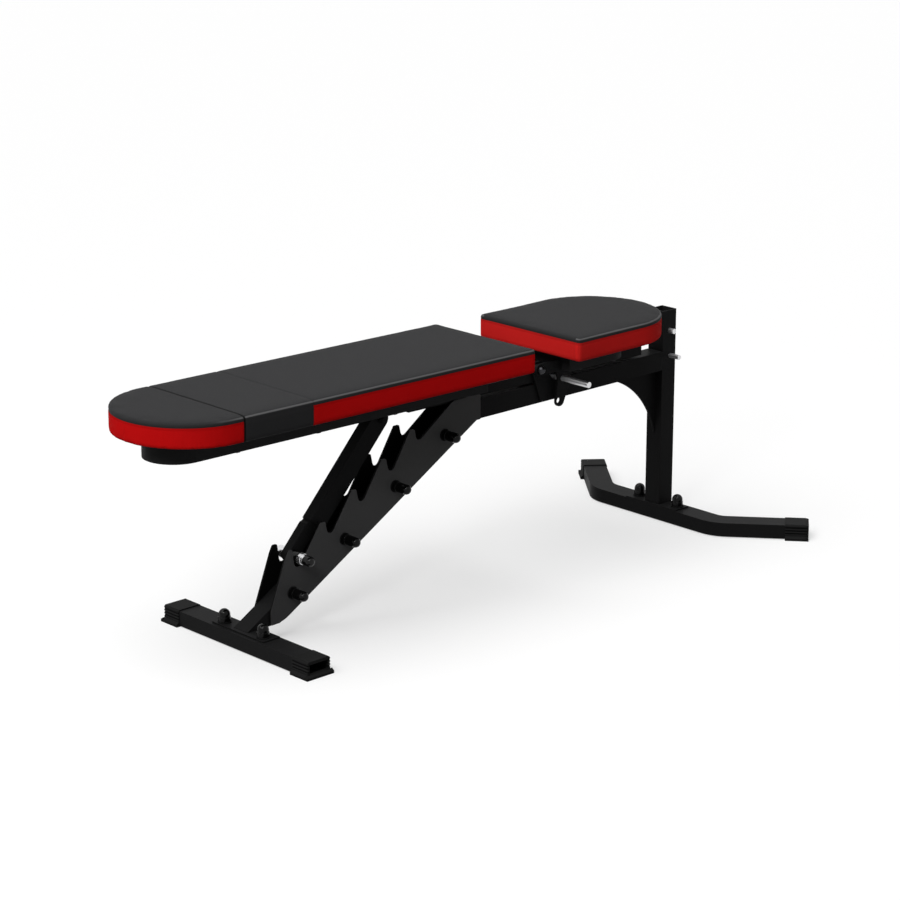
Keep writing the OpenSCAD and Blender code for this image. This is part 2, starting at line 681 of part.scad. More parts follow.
// Rollers between the tongue and the nuts; they are what sits in the notches.
module prop_rollers() {
    from = tongue_half + play;
    color(bright_steel) bench() {
        to_right(rod_at, -from) ring(rod_r + 0.05, roller_d / 2, rod_face + rod_washer_t - from);
        to_left(rod_at, from) ring(rod_r + 0.05, roller_d / 2, rod_face + rod_washer_t - from);
    }
}
module prop_rod_nuts() {
    color(zinc) bench() at_rod_ends() translate([0, 0, rod_washer_t]) hex_nut();
}
module prop_rod_covers() {
    color(black_plastic) bench() to_right(rod_at, -rod_face) translate([0, 0, rod_washer_t])
        nut_cover(rod_cover_l, cover_r);
}

// ---- seat ----
seat_x1 = seat_x0 + seat_l;
seat_base_z = pad_z - seat_base_t;
seat_base_x0 = seat_x0 + 57;
seat_base_x1 = seat_x1 - (pad_w - base_w) / 2;
seat_screw_x = [seat_base_x0 + 45, seat_base_x1 - 45];
seat_pin_r = seat_pin_d / 2;
pin_at = [hinge_x + 63, beam_top + seat_pin_r + 0.5];
eye_at = hinge + [53, -73];
seat_arm_x0 = hinge_x + 88;
seat_arm_x1 = post_x - tube_w / 2 - 65;
raised_pin_at = let (d = eye_at - hinge)
    hinge + [d.x * cos(seat_tilt) - d.y * sin(seat_tilt), d.x * sin(seat_tilt) + d.y * cos(seat_tilt)];

module seat_pad() {
    color(black_vinyl) bench() difference() {
        translate([0, 0, pad_z]) linear_extrude(pad_t) pad_outline(seat_x0, seat_x1, pad_w);
        at_screws(seat_screw_x) translate([0, 0, pad_z - eps])
            cylinder(r = bolt_r + fit, h = screw_grip + 2 * eps);
    }
}
module seat_base() {
    color(black_plastic) bench() difference() {
        translate([0, 0, seat_base_z]) linear_extrude(seat_base_t)
            pad_outline(seat_base_x0, seat_base_x1, base_w);
        at_screws(seat_screw_x) translate([0, 0, seat_base_z]) drill(bolt_r + hole_play, seat_base_t);
    }
}
module seat_screws() {
    color(zinc) bench() at_screws(seat_screw_x) translate([0, 0, seat_base_z])
        hex_bolt(seat_base_t + screw_grip);
}
module seat_tube() {
    color(black_steel) bench() translate([seat_arm_x0, -arm_w / 2, arm_z])
        box_tube(arm_w, arm_h, seat_arm_x1 - seat_arm_x0);
}
module seat_tube_plug() { color(black_plastic) bench() arm_plug(seat_arm_x1, 1); }
// A folded plate: a web under the seat's base, and two cheeks that hang from
// the hinge bolt and reach down both sides of the beam.
eye_r = 12.5;
module seat_yoke() {
    top = arm_z + arm_h;
    neck = seat_base_x0 - 2;
    ear = [pin_at.x - 6, pin_at.x + 24];
    color(black_steel) bench() difference() {
        union() {
            for (y = [-yoke_out, yoke_in]) across(y, y + yoke_t)
                polygon(rounded([
                    corner(hinge + [-12, 12], 11.9), corner(hinge + [-12, -12], 11.9),
                    [ear[0] - 12, hinge_z - 12, 6], [ear[0] - 6, pin_at.y, 10],
                    corner(eye_at + [-eye_r + 2, -eye_r], eye_r - 1),
                    corner(eye_at + [eye_r - 1, -eye_r], eye_r - 1),
                    [ear[1], pin_at.y - 4, 8], [ear[1], top, 0],
                    [neck, top, 0], [neck, hinge_z + 12, 3]]));
            translate([ear[0] - 12, -yoke_out, top - 4])
                cube([seat_arm_x0 - ear[0] + 12, 2 * yoke_out, 4]);
        }
        to_left(hinge, -2 * tube_w) cylinder(r = hinge_r + fit, h = 4 * tube_w);
        for (p = [pin_at, eye_at])
            to_left(p, -2 * tube_w) cylinder(r = seat_pin_r + fit, h = 4 * tube_w);
    }
}

// ---- pins, each with a round head on the left side ----
module headed_pin(p, r, y_head, y_tip, head_r, head_l) {
    to_right(p, y_head) cylinder(r = r, h = y_head - y_tip);
    to_left(p, y_head) cylinder(r = head_r, h = head_l);
}
module seat_pin() {
    color(bright_steel) bench() headed_pin(pin_at, seat_pin_r, yoke_out + play, -113, 11, 8);
}
module post_pin_upper() {
    color(bright_steel) bench()
        headed_pin(upper_pin_at, upper_pin_d / 2, tube_w / 2 + play, -33, upper_pin_d, 8);
}
module post_pin_lower() {
    color(bright_steel) bench()
        headed_pin(lower_pin_at, lower_pin_d / 2, tube_w / 2 + play, -47, lower_pin_d, 8);
}

front_foot_tube();
front_cap_left();
front_cap_right();
front_flange();
leg_tube();
ladder_plate_left();
ladder_plate_right();
ladder_bolts();
ladder_washers();
ladder_nuts();
ladder_nut_covers();
main_beam();
gusset_plate();
post_tube();
rear_flange();
rear_foot_tube();
rear_cap_left();
rear_cap_right();
foot_bolts();
foot_washers();
foot_nuts();
foot_nut_covers();
hinge_bracket_left();
hinge_bracket_right();
hinge_bolt();
hinge_spacers();
hinge_nut();
backrest_pad();
backrest_base();
backrest_tube();
backrest_tube_plug();
backrest_sleeve();
backrest_screws();
prop_bracket();
prop_pivot_bolt();
prop_pivot_nut();
prop_tube();
prop_tongue();
prop_rod();
prop_rollers();
prop_rod_nuts();
prop_rod_covers();
seat_pad();
seat_base();
seat_tube();
seat_tube_plug();
seat_yoke();
seat_screws();
seat_pin();
post_pin_upper();
post_pin_lower();
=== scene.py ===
# %% [markdown]
# # Adjustable weight bench
# A steel frame on two feet carries a long backrest pad and a short seat pad. The frame,
# the ladder, the feet and every bolt come from the CAD model, and this script gives them
# their real finishes. The two pads are soft, so they are sewn and stuffed here. Each cell
# does one small job and prints what it made or measured.

# %% Load the steelwork
import json
import math

import bmesh
import bpy
import numpy as np
from mathutils import Matrix, Vector


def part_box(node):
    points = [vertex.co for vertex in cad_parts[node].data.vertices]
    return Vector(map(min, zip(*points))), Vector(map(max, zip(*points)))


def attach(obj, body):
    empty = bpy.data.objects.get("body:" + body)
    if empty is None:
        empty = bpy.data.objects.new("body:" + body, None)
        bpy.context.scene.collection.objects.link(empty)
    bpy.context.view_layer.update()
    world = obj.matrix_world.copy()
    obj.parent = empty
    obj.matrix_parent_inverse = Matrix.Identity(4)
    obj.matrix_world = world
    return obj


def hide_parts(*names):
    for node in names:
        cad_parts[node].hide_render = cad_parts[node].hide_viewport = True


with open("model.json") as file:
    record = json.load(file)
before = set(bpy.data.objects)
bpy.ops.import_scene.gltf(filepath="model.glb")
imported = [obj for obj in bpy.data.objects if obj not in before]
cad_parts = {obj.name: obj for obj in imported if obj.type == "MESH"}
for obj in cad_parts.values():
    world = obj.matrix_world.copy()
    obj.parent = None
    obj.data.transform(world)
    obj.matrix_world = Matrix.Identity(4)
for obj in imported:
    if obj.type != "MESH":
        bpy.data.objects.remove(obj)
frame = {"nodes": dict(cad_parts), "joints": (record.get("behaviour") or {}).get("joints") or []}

scene = bpy.context.scene
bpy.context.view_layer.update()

# %% [markdown]
# ## Camera
# A long lens five metres away keeps the two feet nearly parallel. The camera stands past
# the round end of the bench, on its right side, and looks down by about 17 degrees. No
# shift and no blur are needed.

# %% Camera
camera = bpy.data.objects.new("camera", bpy.data.cameras.new("camera"))
camera.location = (-3.43711, -3.6506, 1.7848)
camera.rotation_euler = (math.radians(73.248), 0, math.radians(-43.369))
camera.data.lens = 107.1
camera.data.sensor_width = 36
camera.data.clip_end = 200
scene.collection.objects.link(camera)
scene.camera = camera
scene.view_settings.view_transform = "Standard"
print("camera distance", round(camera.location.length, 2), "m")

# %% [markdown]
# ## Wires and finishes
# A finish is a small graph of nodes. Wiring one by hand takes many lines, so two helpers
# carry that work. `Wire` is an output socket that understands plus, minus and times, and
# adds the Math node that does the sum. `Finish` is a material under construction, and its
# `node` method adds any other node from its type, its settings and the values or wires of
# its sockets.

# %% Wire
class Wire:
    """One output socket. Sums on it add Math nodes to its finish."""

    def __init__(self, finish, socket):
        self.finish, self.socket = finish, socket

    def __getitem__(self, output):
        return Wire(self.finish, self.socket.node.outputs[output])

    def maths(self, operation, *values):
        return self.finish.node("ShaderNodeMath", {"operation": operation},
                                dict(enumerate(values)))

    def __add__(self, other): return self.maths("ADD", self, other)
    def __radd__(self, other): return self.maths("ADD", other, self)
    def __sub__(self, other): return self.maths("SUBTRACT", self, other)
    def __rsub__(self, other): return self.maths("SUBTRACT", other, self)
    def __mul__(self, other): return self.maths("MULTIPLY", self, other)
    def __rmul__(self, other): return self.maths("MULTIPLY", other, self)
    def __abs__(self): return self.maths("ABSOLUTE", self)

    def above(self, edge, soft):
        """1 where the value is over an edge and 0 under it, over a soft width."""
        return self.finish.node("ShaderNodeMapRange", {"interpolation_type": "SMOOTHSTEP"}, {
            "Value": self, "From Min": edge - soft / 2, "From Max": edge + soft / 2})

    def sine(self, pitch):
        """A wave from 0 to 1 that repeats every pitch."""
        return self.maths("SINE", self * (2 * math.pi / pitch)) * 0.5 + 0.5

    def line(self, place, width):
        """1 on a line at a place and 0 away from it."""
        return 1 - abs(self - place).above(width, width)


print("Wire ready")

# %% Finish
class Finish:
    """A material with one Principled shader, built a node at a time."""

    def __init__(self, name):
        self.material = bpy.data.materials.new(name)
        self.material.use_nodes = True
        self.tree = self.material.node_tree
        self.tree.nodes.clear()

    def node(self, kind, settings=None, inputs=None):
        """Adds a node of a kind, and gives the wire of its first output in use."""
        node = self.tree.nodes.new(kind)
        for key, value in (settings or {}).items():
            setattr(node, key, value)
        for key, value in (inputs or {}).items():
            if isinstance(value, Wire):
                self.tree.links.new(value.socket, node.inputs[key])
            elif isinstance(value, (tuple, list)) and len(value) == 3 and \
                    node.inputs[key].type == "RGBA":
                node.inputs[key].default_value = (*value, 1)
            else:
                node.inputs[key].default_value = value
        return Wire(self, next(o for o in node.outputs if o.enabled) if node.outputs
                    else node.inputs[0])

    def place(self):
        """Metres on the bench, the same for every piece."""
        return self.node("ShaderNodeTexCoord")["Object"]

    def along(self, axis):
        """One of the three coordinates of a place."""
        return self.node("ShaderNodeSeparateXYZ", {}, {"Vector": self.place()})[axis]

    def noise(self, scale, detail, where=None):
        """A soft random pattern; a larger scale makes it finer."""
        return self.node("ShaderNodeTexNoise", {}, {"Vector": where or self.place(),
                         "Scale": scale, "Detail": detail})["Fac"]

    def mix(self, amount, first, second):
        """The first colour where the amount is 0 and the second where it is 1."""
        return self.node("ShaderNodeMix", {"data_type": "RGBA"},
                         {0: amount, 6: first, 7: second})[2]

    def bump(self, height, depth, under=None):
        """A surface raised by a height from 0 to 1, times a depth in metres."""
        inputs = {"Height": height, "Distance": depth, "Strength": 1.0}
        if under is not None:
            inputs["Normal"] = under
        return self.node("ShaderNodeBump", {}, inputs)

    def done(self, **sockets):
        """Wires up the shader, and gives the material."""
        shader = self.node("ShaderNodeBsdfPrincipled", {},
                           {key.replace("_", " "): value for key, value in sockets.items()})
        self.node("ShaderNodeOutputMaterial", {}, {"Surface": shader})
        return self.material


print("Finish ready")

# %% [markdown]
# ## Studio
# The bench stands in a plain white studio. One broad lamp, a sun with a wide angle, leans
# towards the round end, so the tops are bright, what faces the round end is darker and the
# long sides are darker still, and the shadow under the bench is soft. A small lamp past
# the round end puts a spark on the domed covers and fades along the bench. What the camera
# and the polished steel see of the floor and the room is white, but the light that they
# send back onto the bench is kept low.

# %% Room
room = bpy.data.worlds.new("room")
room.use_nodes = True
scene.world = room
nodes, links = room.node_tree.nodes, room.node_tree.links
nodes.clear()
path = nodes.new("ShaderNodeLightPath")
seen = nodes.new("ShaderNodeMath"); seen.operation = "MAXIMUM"
seen_through = nodes.new("ShaderNodeMath"); seen_through.operation = "MAXIMUM"
links.new(path.outputs["Is Camera Ray"], seen.inputs[0])
links.new(path.outputs["Is Glossy Ray"], seen.inputs[1])
links.new(seen.outputs[0], seen_through.inputs[0])
links.new(path.outputs["Is Transmission Ray"], seen_through.inputs[1])
ROOM_LIGHT = 0.16
WHITE = 1.0
dim, white = nodes.new("ShaderNodeBackground"), nodes.new("ShaderNodeBackground")
dim.inputs["Strength"].default_value = ROOM_LIGHT
white.inputs["Strength"].default_value = WHITE
for shade in (dim, white):
    shade.inputs["Color"].default_value = (1, 1, 1, 1)
blend = nodes.new("ShaderNodeMixShader")
links.new(seen_through.outputs[0], blend.inputs[0])
links.new(dim.outputs[0], blend.inputs[1])
links.new(white.outputs[0], blend.inputs[2])
links.new(blend.outputs[0], nodes.new("ShaderNodeOutputWorld").inputs["Surface"])
print("room lights with", ROOM_LIGHT, "and is seen as", WHITE)

# %% Lamps
BROAD_FROM = Vector((-0.42, 0.0, 0.91))
SMALL_AT = Vector((-2.4, -1.2, 2.1))
SMALL_AIM = Vector((-0.1, 0, 0.35))

broad = bpy.data.objects.new("broad lamp", bpy.data.lights.new("broad lamp", "SUN"))
broad.data.energy = 2.85
broad.data.angle = math.radians(64)
broad.rotation_euler = BROAD_FROM.to_track_quat("Z", "Y").to_euler()
scene.collection.objects.link(broad)

small = bpy.data.objects.new("small lamp", bpy.data.lights.new("small lamp", "AREA"))
small.data.size = 0.55
small.data.energy = 14
small.location = SMALL_AT
small.rotation_euler = (small.location - SMALL_AIM).to_track_quat("Z", "Y").to_euler()
scene.collection.objects.link(small)
print("lamps", broad.name, "/", small.name)

# %% Floor
FLOOR_SIZE = 60
FLOOR_UNSEEN = (0.15, 0.15, 0.15)
FLOOR_SEEN = (1.0, 1.0, 1.0)
GLOW_SHARE = 0.5

ground = bmesh.new()
bmesh.ops.create_grid(ground, x_segments=8, y_segments=8, size=FLOOR_SIZE)
floor_mesh = bpy.data.meshes.new("floor")
ground.to_mesh(floor_mesh)
ground.free()
floor = bpy.data.objects.new("floor", floor_mesh)
scene.collection.objects.link(floor)
floor_finish = Finish("studio floor")
rays = floor_finish.node("ShaderNodeLightPath")
watched = rays["Is Camera Ray"].maths("MAXIMUM", rays["Is Camera Ray"], rays["Is Glossy Ray"])
watched = watched.maths("MAXIMUM", watched, rays["Is Transmission Ray"])
tone = floor_finish.mix(watched, FLOOR_UNSEEN, FLOOR_SEEN)
matt = floor_finish.node("ShaderNodeBsdfDiffuse", {}, {"Color": tone})
glow = floor_finish.node("ShaderNodeEmission", {}, {"Color": (1, 1, 1), "Strength": WHITE})
surface = floor_finish.node("ShaderNodeMixShader", {},
                            {0: watched * GLOW_SHARE, 1: matt, 2: glow})
floor_finish.node("ShaderNodeOutputMaterial", {}, {"Surface": surface})
floor_mesh.materials.append(floor_finish.material)
print("floor", floor_mesh.name)

# %% [markdown]
# ## Steel finishes
# The tubes and brackets are powder coated: the powder melts into a satin skin with a
# faint orange peel, which a fine noise in the bump gives. Sharp sawn edges are softened
# by the coat, so a Bevel node rounds the shading there without touching the CAD mesh. The
# ladder plates are a greyer coat, and painted light makes their outer faces paler from the
# floor up. Painted shade makes their cut edges and the sides that face each other black,
# as hardly any light gets in between them.

# %% Powder coat
# Painted light: the plates' outer faces grow paler up to this height and by this much. Painted
# shade: the inner black.
PAINTED_LIGHT_RISE_TO = 0.40
PAINTED_LIGHT_GAIN = 1.7
PAINTED_SHADE_BLACK = (0.006, 0.006, 0.006)


def powder_coat(name, grey, rough, painted_shade_within=None):
    """Satin coat. Given a width across the bench, painted shade makes it black nearer to the
    bench's middle than that, and painted light makes it paler from the floor up.
    """
    coat = Finish(name)
    peel = coat.noise(620, 3)
    cloud = coat.noise(9, 2)
    edge = coat.node("ShaderNodeBevel", {"samples": 4}, {"Radius": 0.0013})
    colour = coat.mix(cloud, (grey * 0.9,) * 3, (grey * 1.1, grey * 1.1, grey * 1.14))
    if painted_shade_within is not None:
        # Painted light makes the outer faces paler from the floor up, and painted shade makes
        # them black nearer to the middle.
        across, up = abs(coat.along("Y")), coat.along("Z")
        height = up.above(PAINTED_LIGHT_RISE_TO / 2, PAINTED_LIGHT_RISE_TO)
        colour = coat.mix(height, colour, (grey * PAINTED_LIGHT_GAIN,) * 3)
        colour = coat.mix(across.above(painted_shade_within, 0.0004), PAINTED_SHADE_BLACK, colour)
    return coat.done(
        Base_Color=colour,
        Roughness=rough - 0.05 + cloud * 0.08 + peel * 0.04,
        Specular_IOR_Level=0.02,
        Normal=coat.bump(peel, 0.00012, edge))


frame_coat = powder_coat("satin black powder coat", 0.0125, 0.44)
# Nearer to the bench's middle than this, the plates are painted black as shade.
PLATE_PAINTED_SHADE_WITHIN = 0.0236
plate_coat = powder_coat("grey black powder coat, painted light and shade", 0.068, 0.42, PLATE_PAINTED_SHADE_WITHIN)
print(frame_coat.name, "/", plate_coat.name)

# %% [markdown]
# The prop's rod is chrome plated: a smooth mirror with the faintest lines along it, as
# drawn bar has. The three pull-out pins are plain satin steel. The bolts and nuts of the
# feet and the ladder are dull zinc, a little cloudy, and the pads' screws and the hinge
# bolt are blackened. One recipe makes all four, because only the colour, the gloss and the
# cloudiness differ.

# %% Chrome, zinc, pin steel and black oxide
def plated(name, colour, rough, cloudy):
    """A metal skin, from its colour, its roughness and how cloudy it is."""
    skin = Finish(name)
    drawn = skin.noise(60, 2, skin.node("ShaderNodeMapping", {}, {
        "Vector": skin.place(), "Scale": (14, 1, 14)}))
    cloud = skin.noise(90, 3)
    edge = skin.node("ShaderNodeBevel", {"samples": 4}, {"Radius": 0.0006})
    return skin.done(
        Base_Color=skin.mix(cloud * cloudy, colour, tuple(c * 0.62 for c in colour)),
        Roughness=rough + drawn * 0.07 + cloud * cloudy * 0.12,
        Metallic=1.0,
        Normal=skin.bump(drawn, 0.00004, edge))


chrome = plated("chrome plate", (0.80, 0.80, 0.82), 0.09, 0.15)
zinc = plated("dull zinc plate", (0.46, 0.46, 0.47), 0.30, 0.8)
pin_steel = plated("satin pin steel", (0.70, 0.70, 0.71), 0.36, 0.3)
black_oxide = plated("black oxide steel", (0.035, 0.035, 0.038), 0.22, 0.5)
print(chrome.name, "/", zinc.name, "/", pin_steel.name, "/", black_oxide.name)

# %% [markdown]
# End caps are moulded in a matt black plastic with a fine spark-eroded grain. Three
# grooves are cut along both sides of each foot cap in the CAD model. Painted shade darkens
# them, painted light makes the ribbed band between them paler, and both are carried on
# round the end of the cap. The domed covers over the nuts are the same plastic straight
# from a polished mould, so they shine.

# %% Moulded plastic
# The ribbed band gets painted light, and its grooves get painted shade in the groove colour.
RIBS_FROM, RIBS_TO = 0.0115, 0.0285
GROOVE_PITCH = 0.006
GROOVE_PAINTED_SHADE = (0.0015,) * 3


def moulded(name, grey, rough, grain, level, ribbed=False):
    """Moulded plastic. Ribbed adds painted light on the ribbed band and painted shade in the
    grooves of the foot caps.
    """
    plastic = Finish(name)
    speckle = plastic.noise(1500, 2)
    cloud = plastic.noise(14, 2)
    edge = plastic.node("ShaderNodeBevel", {"samples": 4}, {"Radius": 0.0010})
    colour = plastic.mix(cloud, (grey * 0.88,) * 3, (grey * 1.12,) * 3)
    if ribbed:
        up = plastic.along("Z")
        ribs = up.above(RIBS_FROM, 0.001) * (1 - up.above(RIBS_TO, 0.001))
        groove_shade = (up - (RIBS_FROM + 0.0015)).sine(GROOVE_PITCH) * ribs
        # Painted light pales the ribbed band, and painted shade darkens its grooves.
        colour = plastic.mix(ribs * 0.6, colour, (grey * 2.2,) * 3)
        colour = plastic.mix(groove_shade, colour, GROOVE_PAINTED_SHADE)
    return plastic.done(
        Base_Color=colour,
        Roughness=rough - 0.04 + cloud * 0.08 + speckle * grain * 0.2,
        Specular_IOR_Level=level,
        Normal=plastic.bump(speckle, 0.00015 * grain, edge))


cap_plastic = moulded("matt cap plastic, painted rib light and groove shade", 0.013, 0.50, 0.7, 0.02, True)
cover_plastic = moulded("glossy cover plastic", 0.003, 0.13, 0.05, 0.13)
print(cap_plastic.name, "/", cover_plastic.name)

# %% [markdown]
# At its right end the prop's rod has a bright steel collar under a black cap, and of its
# two rollers the right one is black and the left one bright. Cap and collar are one CAD
# node, and so are the rollers, so one material holds both looks and changes over at a
# place across the bench.

# %% Black plastic with plated steel
CAP_BLACK = (0.004, 0.004, 0.004)
COLLAR_STEEL = (0.74, 0.74, 0.75)


def part_plated(name, low, high):
    """Black plastic with a plated steel collar between two places across the bench."""
    fitting = Finish(name)
    across = fitting.along("Y")
    steel = across.above(low, 0.0004) * (1 - across.above(high, 0.0004))
    cloud = fitting.noise(60, 2)
    return fitting.done(
        Base_Color=fitting.mix(steel, CAP_BLACK, COLLAR_STEEL),
        Roughness=0.14 + steel * 0.10 + cloud * 0.05,
        Metallic=steel,
        Specular_IOR_Level=0.20,
        Normal=fitting.bump(cloud, 0.00004))


rod_cap = part_plated("black cap with a plated collar", -0.0450, 0.0)
rod_ring = part_plated("black and plated rings", 0.0, 0.05)
print(rod_cap.name, "/", rod_ring.name)

# %% [markdown]
# Under each pad sits a boxed base of board and foam, wrapped in plain black vinyl. Vinyl
# is embossed with small round grains: a Voronoi pattern raises them, and a slower noise
# keeps them from looking printed.

# %% Vinyl grain
GRAINS_PER_METRE = 520


def vinyl_grain(cloth):
    """The height of embossed vinyl, from 0 in the creases to about 1 on the grains."""
    cells = cloth.node("ShaderNodeTexVoronoi", {"feature": "DISTANCE_TO_EDGE"}, {
        "Vector": cloth.place(), "Scale": GRAINS_PER_METRE, "Randomness": 0.9})["Distance"]
    return cells.maths("MINIMUM", cells * 4, 1) * (0.7 + cloth.noise(90, 2) * 0.6)


def base_vinyl():
    cloth = Finish("black base vinyl")
    grain = vinyl_grain(cloth)
    cloud = cloth.noise(7, 3)
    edge = cloth.node("ShaderNodeBevel", {"samples": 4}, {"Radius": 0.003})
    return cloth.done(
        Base_Color=cloth.mix(cloud, (0.024,) * 3, (0.032, 0.032, 0.033)),
        Roughness=0.50 + cloud * 0.1 - grain * 0.06, Specular_IOR_Level=0.025,
        Normal=cloth.bump(grain, 0.00016, edge))


base_cover = base_vinyl()
print(base_cover.name)

# %% Hand the finishes to the CAD nodes
CHROME = ["prop_rod"]
PINS = ["seat_pin", "post_pin_upper", "post_pin_lower"]
ZINC = ["ladder_bolts", "ladder_nuts", "foot_bolts", "foot_nuts", "prop_rod_nuts"]
OXIDE = ["backrest_screws", "seat_screws", "hinge_bolt", "hinge_nut"]
CAPS = ["front_cap_left", "front_cap_right", "rear_cap_left", "rear_cap_right",
        "backrest_tube_plug", "seat_tube_plug"]
COVERS = ["foot_nut_covers", "ladder_nut_covers"]
PLATES = ["ladder_plate_left", "ladder_plate_right"]
BASES = ["backrest_base", "seat_base"]
finishes = {node: chosen for names, chosen in (
    (CHROME, chrome), (PINS, pin_steel), (ZINC, zinc), (OXIDE, black_oxide),
    (CAPS, cap_plastic), (COVERS, cover_plastic), (PLATES, plate_coat), (BASES, base_cover),
    (["prop_rod_covers"], rod_cap), (["prop_rollers"], rod_ring)) for node in names}
for name, node in frame["nodes"].items():
    for slot in node.material_slots:
        slot.material = finishes.get(name, frame_coat)
print({m.name: sum(o.material_slots[0].material == m for o in frame["nodes"].values())
       for m in set(finishes.values()) | {frame_coat}})

# %% [markdown]
# ## The pads
# Each pad is a slab of firm foam pulled tight in a sewn cover: black vinyl on top, a red
# ribbed band round the side, and on the backrest a plain black panel across the head. A
# plain block would look like wood. So the foam starts as a block a little inside the
# cover's final size, is cut into even little faces by a voxel remesh, and is blown up a
# little by the Cloth simulation. The seams are pressed in afterwards, because a remesh
# would wipe them away. The backrest leans by 0.6 degrees about the hinge, so its pad is
# made level and turned at the end.

# %% Where the pads go
hinge = next(j for j in frame["joints"] if j["name"] == "backrest_tilt")
hinge_at = Vector(hinge["pos_m"])
LEAN = math.radians(0.6)
back_low, back_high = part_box("backrest_pad")
seat_low, seat_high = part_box("seat_pad")
THICK = seat_high.z - seat_low.z
WIDTH = seat_high.y - seat_low.y
SEAT = (seat_low.x, seat_high.x)
lean = (Matrix.Translation(hinge_at) @ Matrix.Rotation(LEAN, 4, "Y")
        @ Matrix.Translation(-hinge_at))
upright = [lean.inverted() @ v.co for v in frame["nodes"]["backrest_pad"].data.vertices]
BACK = (max(v.x for v in upright), min(v.x for v in upright))
print("hinge", tuple(round(v, 4) for v in hinge_at), "thickness", round(THICK, 4), "width",
      round(WIDTH, 4))
print("backrest pad", [round(v, 4) for v in (*back_low, *back_high)], "levelled height",
      round(min(v.z for v in upright), 4), "to", round(max(v.z for v in upright), 4))

# %% [markdown]
# The foam block starts as a disc as wide as the pad. Half of it is cut away, the cut edge
# is pulled out to the square end, and the face is raised to the pad's thickness. Then the
# two upright corners, the top rim and the bottom rim are bevelled, each with its own
# small radius, as foam is trimmed before it is covered.

# %% Foam block
CORNER_TRIM = 0.004
TOP_TRIM = 0.0032
BOTTOM_TRIM = 0.002


def rounded_edges(shape, edges, radius, steps):
    bmesh.ops.bevel(shape, geom=edges, offset=radius, offset_type="OFFSET", segments=steps,
                    profile=0.5, material=-1, affect="EDGES", clamp_overlap=True)


def foam_block(name, square_x, round_x, low, high, width, skin):
    """A slab with a square and a round end, smaller by the skin round its side."""
    way = 1 if round_x > square_x else -1
    radius = width / 2 - skin
    middle = round_x - way * width / 2
    square_x, low, high = square_x + way * skin, low + skin * 0.4, high - skin * 0.2
    block = bmesh.new()
    bmesh.ops.create_circle(block, cap_ends=True, segments=96, radius=radius,
                            matrix=Matrix.Translation((middle, 0, low)))
    bmesh.ops.bisect_plane(block, geom=block.verts[:] + block.edges[:] + block.faces[:],
                           plane_co=(middle, 0, low), plane_no=(-way, 0, 0), clear_outer=True)
    cut = [e for e in block.edges if all(abs(v.co.x - middle) < 1e-6 for v in e.verts)]
    pulled = bmesh.ops.extrude_edge_only(block, edges=cut)["geom"]
    bmesh.ops.translate(block, vec=(square_x - middle, 0, 0),
                        verts=[v for v in pulled if isinstance(v, bmesh.types.BMVert)])
    bmesh.ops.remove_doubles(block, verts=block.verts[:], dist=1e-6)
    raised = bmesh.ops.extrude_face_region(block, geom=block.faces[:])["geom"]
    bmesh.ops.translate(block, vec=(0, 0, high - low),
                        verts=[v for v in raised if isinstance(v, bmesh.types.BMVert)])
    bmesh.ops.recalc_face_normals(block, faces=block.faces[:])
    corners = [e for e in block.edges if abs(e.verts[0].co.z - e.verts[1].co.z) > 0.01
               and abs(e.verts[0].co.x - square_x) < 1e-5]
    rounded_edges(block, corners, CORNER_TRIM, 3)
    for level, trim in ((high, TOP_TRIM), (low, BOTTOM_TRIM)):
        rim = [e for e in block.edges if all(abs(v.co.z - level) < 1e-6 for v in e.verts)
               and any(abs(f.normal.z) < 0.5 for f in e.link_faces)]
        rounded_edges(block, rim, trim, 3)
    mesh = bpy.data.meshes.new(name)
    block.to_mesh(mesh)
    block.free()
    print(name, len(corners), "corners,", len(mesh.polygons), "faces")
    return mesh


print("foam is trimmed by", CORNER_TRIM, TOP_TRIM, BOTTOM_TRIM, "m")

# %% [markdown]
# ## Stuffing
# The block is remeshed with 5 mm voxels, which are laid back onto the crisp block, and
# becomes cloth with air inside. Gravity is off, since the foam carries itself. Twenty
# frames are enough for the faces to puff. The cover is tight, so no point may travel more
# than 1.4 mm, and the underside stays flat because it is glued to the base. Then the cover
# is pulled to its full length and width, and a little smoothing and one round of
# subdivision finish it.

# %% Mesh helpers
def as_mesh(piece, name):
    """The piece's mesh with all of its modifiers applied."""
    bpy.context.view_layer.update()
    graph = bpy.context.evaluated_depsgraph_get()
    return bpy.data.meshes.new_from_object(piece.evaluated_get(graph), depsgraph=graph)


def points(mesh):
    flat = np.empty(len(mesh.vertices) * 3, np.float32)
    mesh.vertices.foreach_get("co", flat)
    return flat.reshape(-1, 3).astype(float)


def set_points(mesh, where):
    mesh.vertices.foreach_set("co", where.astype(np.float32).ravel())
    mesh.update()


def with_modifier(piece, kind, **settings):
    modifier = piece.modifiers.new(kind.title(), kind)
    for key, value in settings.items():
        setattr(modifier, key, value)
    return modifier


def bake_down(piece):
    """Applies the modifiers and takes them off."""
    applied = as_mesh(piece, piece.name)
    piece.modifiers.clear()
    piece.data = applied


print("mesh helpers ready")

# %% Puff
PUFF_FRAMES = 20
AIR_PRESSURE = 4


